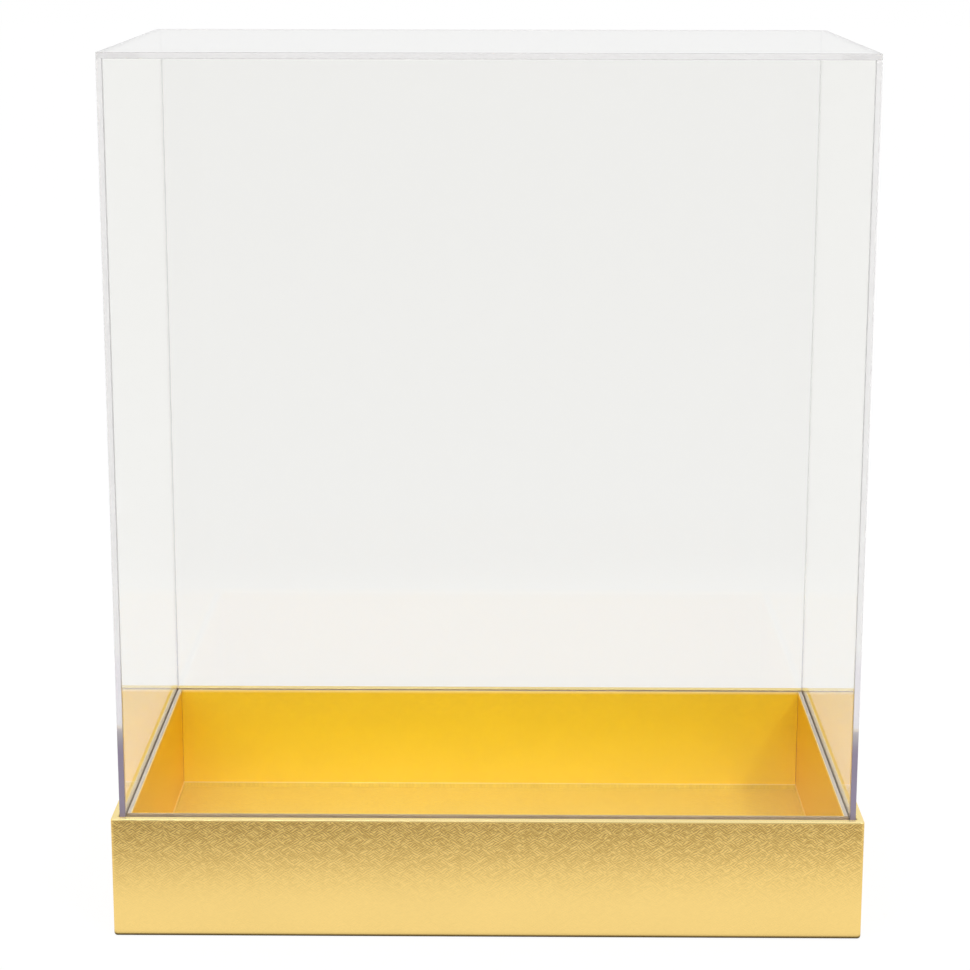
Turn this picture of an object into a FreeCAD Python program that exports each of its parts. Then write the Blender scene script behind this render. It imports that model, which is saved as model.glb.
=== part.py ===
"""Card box: a clear acrylic cover that stands in the groove of a gold paper-wrapped tray.

Millimetres. The origin is the middle of the tray's underside, +Z is up and the front faces -Y.
"""

import os

import FreeCAD
import Part

# Tray, measured over its gold wrap
TRAY_WIDTH = 260.0
TRAY_DEPTH = 145.0
TRAY_HEIGHT = 43.5

# Boards of the tray
BASE_BOARD = 2.0
WALL_BOARD = 2.0
COLLAR_BOARD = 1.2
EDGE_ROUND = 1.0
RIM_ROUND = 0.4

# Papers of the tray
BASE_SHEET = 0.2
BASE_SHEET_INSET = 1.5
WRAP = 0.2
WRAP_TURN_IN = 12.0
WRAP_TURN_UNDER = 15.0
COLLAR_LINING = 0.2
COLLAR_LINING_GAP = 0.1
FLOOR_LINING = 0.2
FLOOR_TURN_UP = 2.0

# Paper tape round each corner of the wall boards, under the wrap
STAY_TAPE = 0.1
STAY_LEG = 14.0
STAY_MARGIN = 2.0

# Acrylic cover
COVER_HEIGHT = 303.0
ACRYLIC = 2.0
ACRYLIC_EASE = 0.15
CEMENT_FILM = 0.05

# Room on each side of an acrylic wall in the groove
GROOVE_CLEARANCE = 0.3

# Levels from the table up
WRAP_LOW = BASE_SHEET
BOARD_LOW = WRAP_LOW + WRAP
BASE_TOP = BOARD_LOW + BASE_BOARD
BOARD_HIGH = TRAY_HEIGHT - WRAP
COVER_TOP = BASE_TOP + COVER_HEIGHT

# Insets from the tray's outside, going inwards through the rim
WALL_OUTER = WRAP + STAY_TAPE
WALL_INNER = WALL_OUTER + WALL_BOARD
GROOVE_OUTER = WALL_INNER + WRAP
COVER_OUTER = GROOVE_OUTER + GROOVE_CLEARANCE
COLLAR_OUTER = COVER_OUTER + ACRYLIC + GROOVE_CLEARANCE
LINING_OUTER = COLLAR_OUTER + COLLAR_BOARD
FLOOR_OUTER = LINING_OUTER + COLLAR_LINING

# How far a cutting block reaches past what it cuts, and how near counts as the same place
OVERSHOOT = 1.0
SAME = 1e-4


def block(width, depth, low, high, x=0.0, y=0.0):
    """An upright box centred on x and y, from z = low to z = high."""
    corner = FreeCAD.Vector(x - width / 2, y - depth / 2, low)
    return Part.makeBox(width, depth, high - low, corner)


def inset_block(inset, low, high):
    """A box inset by one distance from the tray's four outer faces."""
    return block(TRAY_WIDTH - 2 * inset, TRAY_DEPTH - 2 * inset, low, high)


def four_plates(inset, thickness, low, high, sides_run_through=False, film=0.0):
    """Front, back, left and right plates that stand round a rectangle inset from the tray's outside."""
    width = TRAY_WIDTH - 2 * inset
    depth = TRAY_DEPTH - 2 * inset
    cross_width = width
    side_depth = depth
    if sides_run_through:
        cross_width -= 2 * (thickness + film)
    else:
        side_depth -= 2 * (thickness + film)
    x = (width - thickness) / 2
    y = (depth - thickness) / 2
    return {
        "front": block(cross_width, thickness, low, high, y=-y),
        "back": block(cross_width, thickness, low, high, y=y),
        "left": block(thickness, side_depth, low, high, x=-x),
        "right": block(thickness, side_depth, low, high, x=x),
    }


def upright_edges(shape):
    """The edges that run straight up."""
    found = []
    for edge in shape.Edges:
        box = edge.BoundBox
        if box.ZLength > box.DiagonalLength - SAME:
            found.append(edge)
    return found


def level_edges(shape, level):
    """The edges that lie at one level."""
    return [edge for edge in shape.Edges if max(abs(v.Z - level) for v in edge.Vertexes) < SAME]


def mouth_edges(shape, inset, level):
    """The four edges of a well's mouth: at one level, and within the rectangle at that inset."""
    half_width = TRAY_WIDTH / 2 - inset + SAME
    half_depth = TRAY_DEPTH / 2 - inset + SAME
    found = []
    for edge in level_edges(shape, level):
        box = edge.BoundBox
        if box.XMax < half_width and box.YMax < half_depth:
            found.append(edge)
    return found


def walled_form(inset, low, high, well_inset, well_low, skin=0.0):
    """A rounded block with a square well in it and a finer rounded rim; a skin adds to both roundings."""
    form = inset_block(inset, low, high)
    form = form.makeFillet(EDGE_ROUND + skin, upright_edges(form) + level_edges(form, low))
    form = form.makeFillet(RIM_ROUND + skin, level_edges(form, high))
    form = form.cut(inset_block(well_inset, well_low, high + OVERSHOOT))
    return form.makeFillet(RIM_ROUND + skin, mouth_edges(form, well_inset, high))


def make_outer_wrap():
    """One sheet of gold paper: under the base, up the outside, over the rim and down its inner face."""
    turn_in_low = TRAY_HEIGHT - WRAP_TURN_IN
    skin = walled_form(0.0, WRAP_LOW, TRAY_HEIGHT, GROOVE_OUTER, turn_in_low, WRAP)
    boards = walled_form(WRAP, BOARD_LOW, BOARD_HIGH, WALL_INNER, BOARD_LOW - OVERSHOOT)
    inside = inset_block(WALL_INNER, BOARD_LOW, turn_in_low)
    underside = inset_block(WRAP_TURN_UNDER, WRAP_LOW - OVERSHOOT, BOARD_LOW + OVERSHOOT)
    return skin.cut([boards, inside, underside])


def make_wall_boards():
    """Four grey boards that carry the wrap; the front and back run through the corners."""
    ring = walled_form(WALL_OUTER, BOARD_LOW, BOARD_HIGH, WALL_INNER, BOARD_LOW - OVERSHOOT)
    plates = four_plates(WALL_OUTER, WALL_BOARD, BOARD_LOW, BOARD_HIGH)
    return {f"wall_board_{side}": ring.common(plate) for side, plate in plates.items()}


def make_corner_stays():
    """Four lengths of paper tape folded round the upright corners of the wall boards."""
    low = BOARD_LOW + STAY_MARGIN
    high = BOARD_HIGH - STAY_MARGIN
    outside = inset_block(WRAP, low, high)
    outside = outside.makeFillet(EDGE_ROUND, upright_edges(outside))
    inside = inset_block(WALL_OUTER, low - OVERSHOOT, high + OVERSHOOT)
    inside = inside.makeFillet(EDGE_ROUND, upright_edges(inside))
    ring = outside.cut(inside)
    corner = 2 * (STAY_LEG + WRAP)
    tapes = []
    for x in (-TRAY_WIDTH / 2, TRAY_WIDTH / 2):
        for y in (-TRAY_DEPTH / 2, TRAY_DEPTH / 2):
            tapes += ring.common(block(corner, corner, low, high, x, y)).Solids
    return Part.makeCompound(tapes)


def make_floor_lining():
    """A sheet of gold paper on the floor, turned up a little along its four edges."""
    sheet_top = BASE_TOP + FLOOR_LINING
    high = sheet_top + FLOOR_TURN_UP
    sheet = inset_block(FLOOR_OUTER, BASE_TOP, high)
    return sheet.cut(inset_block(FLOOR_OUTER + FLOOR_LINING, sheet_top, high + OVERSHOOT))


def make_tray():
    """Every piece of the tray, by node name."""
    collar_boards = four_plates(COLLAR_OUTER, COLLAR_BOARD, BASE_TOP, TRAY_HEIGHT)
    collar_linings = four_plates(
        LINING_OUTER, COLLAR_LINING, BASE_TOP, TRAY_HEIGHT, sides_run_through=True, film=COLLAR_LINING_GAP
    )
    pieces = {
        "base_sheet": inset_block(BASE_SHEET_INSET, 0.0, BASE_SHEET),
        "base_board": inset_block(WALL_INNER, BOARD_LOW, BASE_TOP),
        "floor_lining": make_floor_lining(),
        "outer_wrap": make_outer_wrap(),
        "corner_stays": make_corner_stays(),
    }
    pieces.update(make_wall_boards())
    pieces.update({f"collar_board_{side}": plate for side, plate in collar_boards.items()})
    pieces.update({f"collar_lining_{side}": plate for side, plate in collar_linings.items()})
    return pieces


def make_cover():
    """Five acrylic panels: the top lies over the walls, and the left and right run the full depth."""
    top_low = COVER_TOP - ACRYLIC
    panels = four_plates(COVER_OUTER, ACRYLIC, BASE_TOP, top_low - CEMENT_FILM, True, CEMENT_FILM)
    panels["top"] = inset_block(COVER_OUTER, top_low, COVER_TOP)
    pieces = {}
    for side, panel in panels.items():
        pieces[f"acrylic_{side}"] = panel.makeFillet(ACRYLIC_EASE, panel.Edges)
    return pieces


def main():
    os.makedirs("parts", exist_ok=True)
    for node, shape in {**make_tray(), **make_cover()}.items():
        shape.exportStep(f"parts/{node}.step")
        print(f"{node}: {len(shape.Solids)} solid(s), {shape.Volume / 1000:.2f} cm3, valid {shape.isValid()}")


main()
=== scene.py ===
"""Looks of the card box: a clear acrylic cover on a gold paper tray, on a white studio floor."""

import math

import bpy
from mathutils import Matrix, Vector


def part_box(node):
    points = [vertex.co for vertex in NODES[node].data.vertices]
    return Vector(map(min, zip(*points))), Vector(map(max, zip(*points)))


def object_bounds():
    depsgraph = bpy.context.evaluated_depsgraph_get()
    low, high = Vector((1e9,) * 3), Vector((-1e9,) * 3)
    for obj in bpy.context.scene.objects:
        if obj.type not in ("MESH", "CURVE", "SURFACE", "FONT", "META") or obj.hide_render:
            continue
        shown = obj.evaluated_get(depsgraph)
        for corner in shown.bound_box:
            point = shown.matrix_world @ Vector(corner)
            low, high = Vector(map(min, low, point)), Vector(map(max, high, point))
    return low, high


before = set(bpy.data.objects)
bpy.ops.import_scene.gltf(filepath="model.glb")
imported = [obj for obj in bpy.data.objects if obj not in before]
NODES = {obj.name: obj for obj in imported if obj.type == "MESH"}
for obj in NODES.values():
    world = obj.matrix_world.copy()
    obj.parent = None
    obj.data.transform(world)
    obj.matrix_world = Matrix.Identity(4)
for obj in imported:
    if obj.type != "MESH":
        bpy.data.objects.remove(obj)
cad_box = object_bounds()

# Camera at the photograph's viewing angle, in metres, degrees, pixels and a share of the picture
PHOTO_PIXELS = 970
FOCAL_PIXELS = 2396
SENSOR_MM = 36.0
CAMERA_AT = (0.0050, -0.8499, 0.3547)
CAMERA_YAW = -0.44
CAMERA_PITCH = 12.03
CAMERA_ROLL = 0.09
CAMERA_SHIFT = -0.08
CLIP_NEAR = 0.01

# Linear colours of the gold papers
WRAP_GOLD = (0.932, 0.668, 0.230, 1.0)
WALL_GOLD = (1.0, 0.73, 0.04, 1.0)
# Painted shade: the side linings are the wall lining's paper, darkened and deepened as if in shade
SIDE_SHADED_GOLD = (0.93, 0.61, 0.012, 1.0)
# Painted sheen: the floor lining is made paler, as the light from above shows on it
FLOOR_SHEEN_GOLD = (0.91, 0.725, 0.145, 1.0)
# Pale edge: a lining's cut edge with painted highlight, and a painted highlight along the wrap's rim fold
EDGE_AND_HIGHLIGHT_GOLD = (1.0, 0.84, 0.42, 1.0)
# Painted shade: the hatch's strokes darken towards this brown, as shade in the pressed grooves
HATCH_SHADE_BROWN = (0.36, 0.19, 0.02, 1.0)
WRAP_GLANCING = (1.0, 0.86, 0.6, 1.0)
LINING_GLANCING = (1.0, 0.78, 0.2, 1.0)

# Finish of a gold paper: how strongly the painted shade in its hatch shows, how deep it is pressed in
# metres, and the sheen
WRAP = {"shade": 0.655, "emboss": 0.00003, "metal": 0.85, "roughness": 0.16, "glancing": WRAP_GLANCING}
LINING = {"shade": 0.16, "emboss": 0.00002, "metal": 0.4, "roughness": 0.36, "glancing": LINING_GLANCING}

# Faint clouds in a gold paper, per metre
CLOUD_SCALE = 45.0
CLOUD_DETAIL = 4.0
CLOUD_SHADE = 0.94

# Pressed hatch of the gold papers, in metres, degrees and shares: strokes in patches that lean either way
STROKE_LENGTH = 0.0022
STROKE_ROW = 0.0006
STROKE_PITCH = 0.00082
STROKE_WANDER = 9.0
STROKE_ANGLES = (37.0, -33.0)
STROKE_WAVE = (-0.9, 0.9)
STROKE_DEPTH = (0.05, 0.95)
PATCH_SIZE = 0.0026
PATCH_NOISE = (0.42, 0.58)
PATCH_LEAN = (0.2, 0.8)

# Heights between which the hatch of an upright paper grows from faint to full, in metres; its painted groove
# shade so darkens the paper high up and fades towards the foot
FAINT_LOW = 0.010
FAINT_HIGH = 0.043
FAINT_SHARE = 0.07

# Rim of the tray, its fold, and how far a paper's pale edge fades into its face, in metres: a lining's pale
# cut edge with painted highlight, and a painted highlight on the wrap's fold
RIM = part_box("outer_wrap")[1][2]
FOLD = 0.0009
WALL_EDGE_FADE = 0.0014
FLOOR_EDGE_FADE = 0.0006

# Linear colours of the boards and plain papers; the collar's side boards are the same board, with a paler
# cut edge as painted light
BOARD_DARK = (0.42, 0.31, 0.21, 1.0)
BOARD_LIT_PALE = (0.68, 0.60, 0.51, 1.0)
TAPE_BROWN = (0.42, 0.27, 0.13, 1.0)
SHEET_WHITE = (0.80, 0.78, 0.74, 1.0)

# Fibres of the boards and plain papers, per metre, and their relief in metres
FIBRE_SCALE = 900.0
FIBRE_DETAIL = 5.0
FIBRE_ROUGHNESS = 0.7
FIBRE_STRENGTH = 0.5
FIBRE_RELIEF = 0.00005

# Clear acrylic: its cut edges are a little hazy, with a painted violet-grey reflection of the tray up to a
# little above it, in metres
ACRYLIC_TINT = (0.990, 0.990, 0.979, 1.0)
ACRYLIC_IOR = 1.49
EDGE_FACING = 0.7
EDGE_HAZE = (0.86, 0.855, 0.865, 1.0)
EDGE_HAZE_SHARE = 0.45
# Painted reflection of the tray low on the cut edges, and the heights where it fades out
LOW_REFLECTION_VIOLET = (0.60, 0.52, 0.70, 1.0)
LOW_REFLECTION_FULL = 0.066
LOW_REFLECTION_END = 0.076
LAMP_SHARE = 0.96

# Stage floor, in metres: mirrored, it carries a painted shadow at the object's foot and dims in front,
# sooner at the left
WHITE = (1.0, 1.0, 1.0, 1.0)
BLACK = (0.0, 0.0, 0.0, 1.0)
FLOOR_SIZE = 12.0
FLOOR_SHADE = 0.07
FLOOR_GLOW = 0.94
FLOOR_DIM = (0.03, 0.015, 0.005, 1.0)
DIM_NEAR = 0.035
DIM_FAR = 0.225
DIM_SKEW = 0.09
DIM_SPREAD = 0.5
DIM_ASIDE = 0.25
CONTACT_NEAR = 0.0002
CONTACT_FAR = 0.005

# Fewer bounces than this are none
NO_BOUNCE = 0.5

# Stage surround: mirrored, it is pale behind and above and dimmer in front
BACK_LIGHT = (0.9, 0.9, 0.9, 1.0)
FRONT_LIGHT = (0.32, 0.25, 0.18, 1.0)
TOP_LIGHT = 0.9

# Where the surround changes, as the Y and the Z of the direction looked in
FRONT_TO_BACK = (-0.85, 0.0)
LEVEL_TO_TOP = (-0.05, 0.35)

# Lamps, in metres and watts
LAMP_AIM = (0.0, 0.0, 0.03)
SOFT_AT = (-0.62, -0.95, 0.80)
SOFT_SIZE = 1.3
SOFT_POWER = 4.1
KEY_AT = (0.55, -0.95, 0.80)
KEY_SIZE = 0.10
KEY_POWER = 3.1

# Light bounces
ALL_BOUNCES = 32
CLEAR_BOUNCES = 24
GLOSSY_BOUNCES = 24


def put(tree, socket, value):
    """Links a socket to another one, or sets it to a plain value."""
    if isinstance(value, bpy.types.NodeSocket):
        tree.links.new(value, socket)
    else:
        socket.default_value = value


def set_inputs(tree, node, inputs):
    """Links or sets several inputs of a node."""
    for key, value in inputs.items():
        put(tree, node.inputs[key], value)


def add_node(tree, kind, inputs=None, **options):
    """A new shader node with its options and inputs set."""
    node = tree.nodes.new("ShaderNode" + kind)
    for option, value in options.items():
        setattr(node, option, value)
    set_inputs(tree, node, inputs or {})
    return node


def calculate(tree, operation, *values):
    """The result of a Math node."""
    return add_node(tree, "Math", dict(enumerate(values)), operation=operation).outputs[0]


def vector_math(tree, operation, *values):
    """A Vector Math node."""
    return add_node(tree, "VectorMath", dict(enumerate(values)), operation=operation)


def smooth_step(tree, value, from_low, from_high, to_low, to_high):
    """A smooth change from one level to another."""
    inputs = {0: value, 1: from_low, 2: from_high, 3: to_low, 4: to_high}
    return add_node(tree, "MapRange", inputs, interpolation_type="SMOOTHSTEP").outputs[0]


def mix_colour(tree, factor, first, second):
    """The result of a colour mix."""
    return add_node(tree, "Mix", {0: factor, 6: first, 7: second}, data_type="RGBA").outputs[2]


def noise(tree, place, scale, detail, **more):
    """A noise texture, from 0 to 1."""
    inputs = {"Vector": place, "Scale": scale, "Detail": detail, **more}
    return add_node(tree, "TexNoise", inputs).outputs["Fac"]


def darker(colour, share):
    """A colour times a share."""
    return tuple(share * c for c in colour[:3]) + (1.0,)


def coordinates(tree, vector):
    """The X, Y and Z outputs of a vector."""
    return add_node(tree, "SeparateXYZ", {0: vector}).outputs


def object_place(tree):
    """The place on the object, in metres."""
    return add_node(tree, "TexCoord").outputs["Object"]


def object_height(tree):
    """The height on the object, in metres."""
    return coordinates(tree, object_place(tree))["Z"]


def new_material(name):
    """A material with one Principled shader: the material, its node tree and the shader."""
    material = bpy.data.materials.new(name)
    material.use_nodes = True
    tree = material.node_tree
    return material, tree, tree.nodes["Principled BSDF"]


def set_surface(tree, shader):
    """Makes a shader the surface of its material."""
    put(tree, tree.nodes["Material Output"].inputs["Surface"], shader.outputs[0])


def sheet_plane(tree, flat):
    """Coordinates in the plane of a sheet: on the floor, or along a wall and up it."""
    place = coordinates(tree, object_place(tree))
    if flat:
        return add_node(tree, "CombineXYZ", {"X": place["X"], "Y": place["Y"]}).outputs[0]
    along = calculate(tree, "ADD", place["X"], place["Y"])
    return add_node(tree, "CombineXYZ", {"X": along, "Y": place["Z"]}).outputs[0]


def strokes(tree, plane, angle):
    """One set of fine slanted strokes, evenly spaced but unsteady."""
    turn = {"Vector": plane, "Angle": math.radians(angle)}
    turned = add_node(tree, "VectorRotate", turn, rotation_type="Z_AXIS").outputs[0]
    stretched = vector_math(tree, "DIVIDE", turned, (STROKE_LENGTH, STROKE_ROW, 1.0)).outputs[0]
    unsteady = noise(tree, stretched, scale=1.0, detail=0.0)
    even = calculate(tree, "MULTIPLY", coordinates(tree, turned)["Y"], 2 * math.pi / STROKE_PITCH)
    wave = calculate(tree, "SINE", calculate(tree, "MULTIPLY_ADD", unsteady, STROKE_WANDER, even))
    return smooth_step(tree, wave, *STROKE_WAVE, *STROKE_DEPTH)


def upright_fade(tree, relief):
    """The hatch of an upright paper: left off the rim's fold, and fainter towards the foot, so that its
    painted shade darkens the paper high up.
    """
    height = object_height(tree)
    below_fold = smooth_step(tree, height, RIM - FOLD, RIM - FOLD / 2, 1.0, 0.0)
    above_foot = smooth_step(tree, height, FAINT_LOW, FAINT_HIGH, FAINT_SHARE, 1.0)
    return calculate(tree, "MULTIPLY", calculate(tree, "MULTIPLY", relief, below_fold), above_foot)


def hatch(tree, flat):
    """Depth of the pressed hatch, from 0 to 1."""
    plane = sheet_plane(tree, flat)
    first, second = (strokes(tree, plane, angle) for angle in STROKE_ANGLES)
    patches = noise(tree, plane, scale=1.0 / PATCH_SIZE, detail=0.0)
    lean = smooth_step(tree, patches, *PATCH_NOISE, *PATCH_LEAN)
    relief = add_node(tree, "Mix", {0: lean, 2: first, 3: second}).outputs[0]
    if flat:
        return relief
    return upright_fade(tree, relief)


def top_edge(tree, top, fade):
    """1 at the top edge or fold of a standing sheet, fading away below it: where the pale edge and painted
    highlight go.
    """
    return smooth_step(tree, object_height(tree), top - fade, top, 0.0, 1.0)


def gold_paper(name, gold, finish, edge, flat=False):
    """Metallic gold paper with a pressed hatch whose strokes carry painted shade, slightly cloudy, and paler
    at its top edge (a cut edge, partly painted highlight) or fold (painted highlight).
    """
    material, tree, shader = new_material(name)
    depth = hatch(tree, flat)
    cloud = noise(tree, object_place(tree), CLOUD_SCALE, CLOUD_DETAIL)
    colour = mix_colour(tree, cloud, darker(gold, CLOUD_SHADE), gold)
    # Painted shade: the hatch's strokes turn brown, as shade in their grooves
    colour = mix_colour(tree, calculate(tree, "MULTIPLY", depth, finish["shade"]), colour, HATCH_SHADE_BROWN)
    # Pale edge: a cut edge with painted highlight on the linings, a painted highlight on the wrap's fold
    colour = mix_colour(tree, top_edge(tree, *edge), colour, EDGE_AND_HIGHLIGHT_GOLD)
    relief = {"Height": depth, "Strength": 1.0, "Distance": finish["emboss"]}
    set_inputs(tree, shader, {
        "Base Color": colour,
        "Metallic": finish["metal"],
        "Roughness": finish["roughness"],
        "Specular Tint": finish["glancing"],
        "Normal": add_node(tree, "Bump", relief, invert=True).outputs[0],
    })
    return material


def fibrous(name, colour, roughness, contrast):
    """Plain board or paper with fibres and specks."""
    material, tree, shader = new_material(name)
    fibre = noise(tree, object_place(tree), FIBRE_SCALE, FIBRE_DETAIL, Roughness=FIBRE_ROUGHNESS)
    relief = {"Height": fibre, "Strength": FIBRE_STRENGTH, "Distance": FIBRE_RELIEF}
    set_inputs(tree, shader, {
        "Base Color": mix_colour(tree, fibre, darker(colour, 1.0 - contrast), colour),
        "Roughness": roughness,
        "Normal": add_node(tree, "Bump", relief).outputs[0],
    })
    return material


def panel_edge(tree, thin_axis):
    """1 on the cut edges of a panel, which don't face along its thin axis."""
    normal = add_node(tree, "NewGeometry").outputs["True Normal"]
    along = coordinates(tree, normal)[thin_axis]
    return calculate(tree, "LESS_THAN", calculate(tree, "ABSOLUTE", along), EDGE_FACING)


def edge_haze_and_reflection(tree):
    """The haze of a panel's cut edges, nearly white, with a painted violet-grey reflection of the tray low
    down.
    """
    # Painted reflection: violet-grey low on the edges
    low = smooth_step(tree, object_height(tree), LOW_REFLECTION_FULL, LOW_REFLECTION_END, 1.0, 0.0)
    return add_node(tree, "BsdfDiffuse", {"Color": mix_colour(tree, low, EDGE_HAZE, LOW_REFLECTION_VIOLET)}).outputs[0]


def clear_acrylic(thin_axis):
    """Polished clear acrylic with slightly hazy cut edges that carry a painted reflection low down, which
    lets the lamps through.
    """
    material, tree, shader = new_material("clear_acrylic_" + thin_axis.lower())
    clear = {"Base Color": ACRYLIC_TINT, "Roughness": 0.0, "IOR": ACRYLIC_IOR, "Transmission Weight": 1.0}
    set_inputs(tree, shader, clear)
    share = calculate(tree, "MULTIPLY", panel_edge(tree, thin_axis), EDGE_HAZE_SHARE)
    body = add_node(tree, "MixShader", {0: share, 1: shader.outputs[0], 2: edge_haze_and_reflection(tree)}).outputs[0]
    lamp_ray = add_node(tree, "LightPath").outputs["Is Shadow Ray"]
    passing = add_node(tree, "BsdfTransparent", {"Color": darker(WHITE, LAMP_SHARE)}).outputs[0]
    set_surface(tree, add_node(tree, "MixShader", {0: lamp_ray, 1: body, 2: passing}))
    return material


def dress(material, *stems):
    """Gives one material to the CAD nodes whose names start with one of the stems."""
    for name, node in NODES.items():
        if name.startswith(stems):
            node.data.materials.clear()
            node.data.materials.append(material)


def dress_papers():
    """Gold paper round the tray and inside it; the side linings are the same paper, deeper in colour as
    painted shade.
    """
    wall_edge = (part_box("collar_lining_back")[1][2], WALL_EDGE_FADE)
    floor_edge = (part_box("floor_lining")[1][2], FLOOR_EDGE_FADE)
    dress(gold_paper("gold_wrap_paper", WRAP_GOLD, WRAP, (RIM, FOLD)), "outer_wrap")
    wall_paper = gold_paper("gold_wall_lining", WALL_GOLD, LINING, wall_edge)
    # Painted shade: a darker copy of the wall lining for the side walls
    shaded_side_paper = gold_paper("gold_side_lining_painted_shade", SIDE_SHADED_GOLD, LINING, wall_edge)
    dress(wall_paper, "collar_lining_front", "collar_lining_back")
    dress(shaded_side_paper, "collar_lining_left", "collar_lining_right")
    dress(gold_paper("gold_floor_lining", FLOOR_SHEEN_GOLD, LINING, floor_edge, flat=True), "floor_lining")


def dress_boards():
    """Boards and plain papers of the tray."""
    grey_board = fibrous("grey_board", BOARD_DARK, roughness=0.9, contrast=0.25)
    # Painted light: the collar's side boards get a paler copy of the grey board
    lit_pale_board = fibrous("lit_pale_board", BOARD_LIT_PALE, roughness=0.9, contrast=0.25)
    dress(grey_board, "wall_board", "collar_board_front", "collar_board_back", "base_board")
    dress(lit_pale_board, "collar_board_left", "collar_board_right")
    dress(fibrous("stay_tape", TAPE_BROWN, roughness=0.85, contrast=0.2), "corner_stays")
    dress(fibrous("base_paper", SHEET_WHITE, roughness=0.8, contrast=0.08), "base_sheet")


def dress_cover():
    """Clear panels of the cover, by the axis along which they are thin."""
    dress(clear_acrylic("X"), "acrylic_left", "acrylic_right")
    dress(clear_acrylic("Y"), "acrylic_front", "acrylic_back")
    dress(clear_acrylic("Z"), "acrylic_top")


def seen_directly(tree):
    """1 where the camera looks straight at the stage, or sees it through the clear cover."""
    path = add_node(tree, "LightPath").outputs
    bounced = calculate(tree, "ADD", path["Glossy Depth"], path["Diffuse Depth"])
    unbounced = calculate(tree, "LESS_THAN", bounced, NO_BOUNCE)
    through = calculate(tree, "MULTIPLY", path["Is Transmission Ray"], unbounced)
    return calculate(tree, "MAXIMUM", path["Is Camera Ray"], through)


def floor_mesh():
    """A large flat square under the object, as part of the stage."""
    half = FLOOR_SIZE / 2
    corners = [(-half, -half, 0), (half, -half, 0), (half, half, 0), (-half, half, 0)]
    mesh = bpy.data.meshes.new("studio_floor")
    mesh.from_pydata(corners, [], [(0, 1, 2, 3)])
    floor = bpy.data.objects.new("studio_floor", mesh)
    bpy.context.scene.collection.objects.link(floor)
    return mesh


def off_the_foot(tree, place):
    """0 at the object's foot, rising to 1 a little way out from it: the painted shadow at the foot."""
    corner = (cad_box[1][0], cad_box[1][1], 0.0)
    beyond = vector_math(tree, "SUBTRACT", vector_math(tree, "ABSOLUTE", place).outputs[0], corner)
    outside = vector_math(tree, "MAXIMUM", beyond.outputs[0], (0.0, 0.0, 0.0))
    distance = vector_math(tree, "LENGTH", outside.outputs[0]).outputs["Value"]
    return smooth_step(tree, distance, CONTACT_NEAR, CONTACT_FAR, 0.0, 1.0)


def out_in_front(tree, place):
    """0 close to the object, rising to 1 in front of it, in a wedge that widens forwards."""
    parts = coordinates(tree, place)
    straight = calculate(tree, "SUBTRACT", cad_box[0][1], parts["Y"])
    ahead = calculate(tree, "MULTIPLY_ADD", parts["X"], -DIM_SKEW, straight)
    aside = calculate(tree, "MULTIPLY_ADD", ahead, -DIM_SPREAD, calculate(tree, "ABSOLUTE", parts["X"]))
    far = smooth_step(tree, ahead, DIM_NEAR, DIM_FAR, 0.0, 1.0)
    middle = smooth_step(tree, aside, DIM_ASIDE, 2 * DIM_ASIDE, 1.0, 0.0)
    return calculate(tree, "MULTIPLY", far, middle)


def make_floor():
    """White where it is looked at, with a soft shadow; mirrored, it has a painted shadow at the foot and is
    dim in front.
    """
    material, tree, shader = new_material("studio_floor")
    tree.nodes.remove(shader)
    place = object_place(tree)
    bright = darker(WHITE, FLOOR_GLOW)
    dimmed = mix_colour(tree, out_in_front(tree, place), bright, FLOOR_DIM)
    mirrored = mix_colour(tree, off_the_foot(tree, place), BLACK, dimmed)
    glow = add_node(tree, "Emission", {"Color": mix_colour(tree, seen_directly(tree), mirrored, bright)})
    shade = add_node(tree, "BsdfDiffuse", {"Color": darker(WHITE, FLOOR_SHADE)})
    set_surface(tree, add_node(tree, "AddShader", {0: glow.outputs[0], 1: shade.outputs[0]}))
    floor_mesh().materials.append(material)


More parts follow.
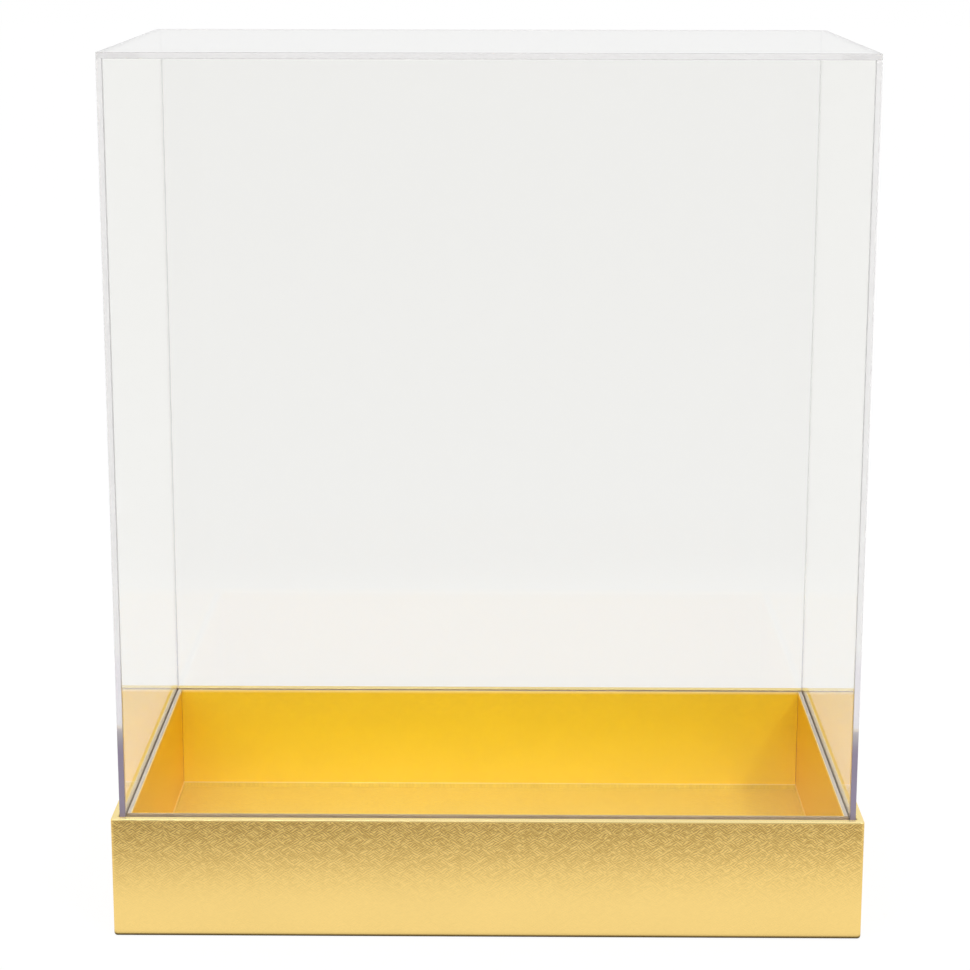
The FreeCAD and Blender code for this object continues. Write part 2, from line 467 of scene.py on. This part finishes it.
def make_world():
    """A white surround where it is looked at; mirrored, it is pale behind and above and dimmer in front."""
    world = bpy.data.worlds.new("studio")
    world.use_nodes = True
    world.cycles.sampling_method = "NONE"
    bpy.context.scene.world = world
    tree = world.node_tree
    parts = coordinates(tree, add_node(tree, "TexCoord").outputs["Generated"])
    backward = smooth_step(tree, parts["Y"], *FRONT_TO_BACK, 0.0, 1.0)
    upward = smooth_step(tree, parts["Z"], *LEVEL_TO_TOP, 0.0, 1.0)
    around = mix_colour(tree, backward, FRONT_LIGHT, BACK_LIGHT)
    mirrored = mix_colour(tree, upward, around, darker(WHITE, TOP_LIGHT))
    colour = mix_colour(tree, seen_directly(tree), mirrored, WHITE)
    put(tree, tree.nodes["Background"].inputs["Color"], colour)


def add_lamp(name, place, size, power):
    """A square soft lamp that looks at the tray."""
    lamp = bpy.data.lights.new(name, "AREA")
    lamp.size = size
    lamp.energy = power
    lamp.cycles.use_multiple_importance_sampling = False
    holder = bpy.data.objects.new(name, lamp)
    bpy.context.scene.collection.objects.link(holder)
    holder.location = place
    holder.rotation_euler = (Vector(LAMP_AIM) - Vector(place)).to_track_quat("-Z", "Y").to_euler()


def make_lights():
    """A broad lamp at the upper left, and a small one at the right that shades the tray's inner corner."""
    add_lamp("soft_left", SOFT_AT, SOFT_SIZE, SOFT_POWER)
    add_lamp("key_right", KEY_AT, KEY_SIZE, KEY_POWER)


def make_camera():
    """The photograph's camera."""
    data = bpy.data.cameras.new("photo_camera")
    data.sensor_width = SENSOR_MM
    data.lens = FOCAL_PIXELS * SENSOR_MM / PHOTO_PIXELS
    data.shift_y = CAMERA_SHIFT
    data.clip_start = CLIP_NEAR
    camera = bpy.data.objects.new("photo_camera", data)
    bpy.context.scene.collection.objects.link(camera)
    turn = Matrix.Rotation(math.radians(-CAMERA_YAW), 4, "Z")
    turn @= Matrix.Rotation(math.radians(90.0 - CAMERA_PITCH), 4, "X")
    turn @= Matrix.Rotation(math.radians(CAMERA_ROLL), 4, "Z")
    camera.matrix_world = Matrix.Translation(CAMERA_AT) @ turn
    bpy.context.scene.camera = camera


def set_render():
    """Plain colours, and enough bounces for light to run along inside the clear panels."""
    scene = bpy.context.scene
    scene.view_settings.view_transform = "Standard"
    scene.cycles.max_bounces = ALL_BOUNCES
    scene.cycles.transmission_bounces = CLEAR_BOUNCES
    scene.cycles.glossy_bounces = GLOSSY_BOUNCES


make_camera()
make_world()
make_floor()
make_lights()
set_render()
dress_papers()
dress_boards()
dress_cover()
